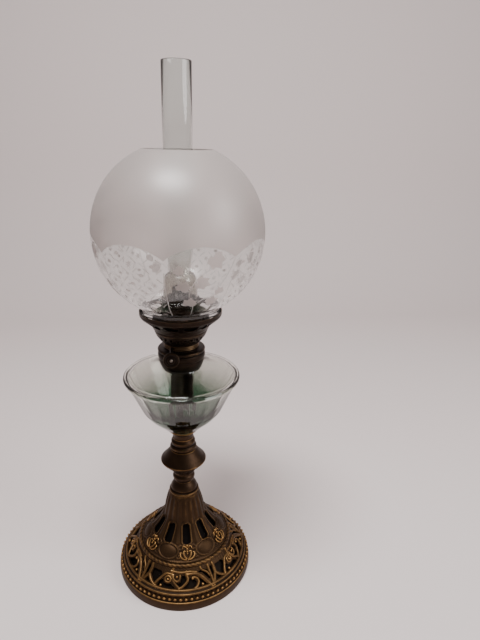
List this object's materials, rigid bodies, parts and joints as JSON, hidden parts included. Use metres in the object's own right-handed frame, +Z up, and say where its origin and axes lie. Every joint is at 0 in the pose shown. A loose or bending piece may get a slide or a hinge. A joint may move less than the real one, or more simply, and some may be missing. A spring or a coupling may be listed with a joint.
{
  "type": "oil lamp",
  "caption": "Table oil lamp: pierced round foot, turned stem, faceted glass font, round-wick burner with side winder, glass chimney and etched ball globe.",
  "frame": {"origin": "centre of the foot's resting face, on the lamp's axis", "axes": "+Z up along the lamp's axis, through the stem, burner and chimney; -Y towards the winder's knob, which is the front"},
  "size_m": [0.2072, 0.2072, 0.685],
  "materials": {
    "antique_brass": "antique",
    "dark_bronze": "dark patina",
    "steel": "plain",
    "plaster": "matt",
    "green_glass": "polished",
    "clear_glass": "polished",
    "etched_glass": "acid etched",
    "cotton": "woven"
  },
  "bodies": {
    "stand": {"foot_casting": "antique_brass", "stem_bell": "antique_brass", "stem_spacer": "antique_brass", "stem_knop": "antique_brass", "stem_rings": "antique_brass", "tie_rod": "steel", "foot_washer": "steel", "foot_nut": "steel", "cup_nut": "steel", "font_cup": "antique_brass", "font_plaster": "plaster", "font": "green_glass", "font_collar": "dark_bronze", "collar_cement": "plaster"},
    "burner": {"screw_ring": "dark_bronze", "base_plate": "dark_bronze", "air_basket": "dark_bronze", "burner_drum": "dark_bronze", "shade_gallery": "dark_bronze", "air_cone": "dark_bronze", "chimney_holder": "dark_bronze", "outer_wick_tube": "dark_bronze", "inner_air_tube": "dark_bronze", "winder_bush": "dark_bronze"},
    "winder": {"winder_shaft": "steel", "front_star_wheel": "dark_bronze", "rear_star_wheel": "dark_bronze", "winder_knob": "dark_bronze", "knob_rivet": "steel"},
    "wick": {"wick": "cotton"},
    "chimney": {"chimney": "clear_glass"},
    "globe": {"globe": "etched_glass"}
  },
  "joints": [
    {"name": "burner_lift", "type": "slide", "parent": "stand", "child": "burner", "axis": [0, 0, 1], "range_m": [0, 0.13]},
    {"name": "winder_turn", "type": "hinge", "parent": "burner", "child": "winder", "pos_m": [-0.0125, 0, 0.3548], "axis": [0, -1, 0], "range_deg": [-180, 108]},
    {"name": "wick_rise", "type": "slide", "parent": "burner", "child": "wick", "axis": [0, 0, 1], "range_m": [-0.0101, 0.0061]},
    {"name": "chimney_lift", "type": "slide", "parent": "burner", "child": "chimney", "axis": [0, 0, 1], "range_m": [0, 0.21]},
    {"name": "globe_lift", "type": "slide", "parent": "burner", "child": "globe", "axis": [0, 0, 1], "range_m": [0, 0.3]}
  ],
  "couplings": [
    {"joint": "wick_rise", "follows": "winder_turn", "m_per_rad": 0.0032}
  ]
}
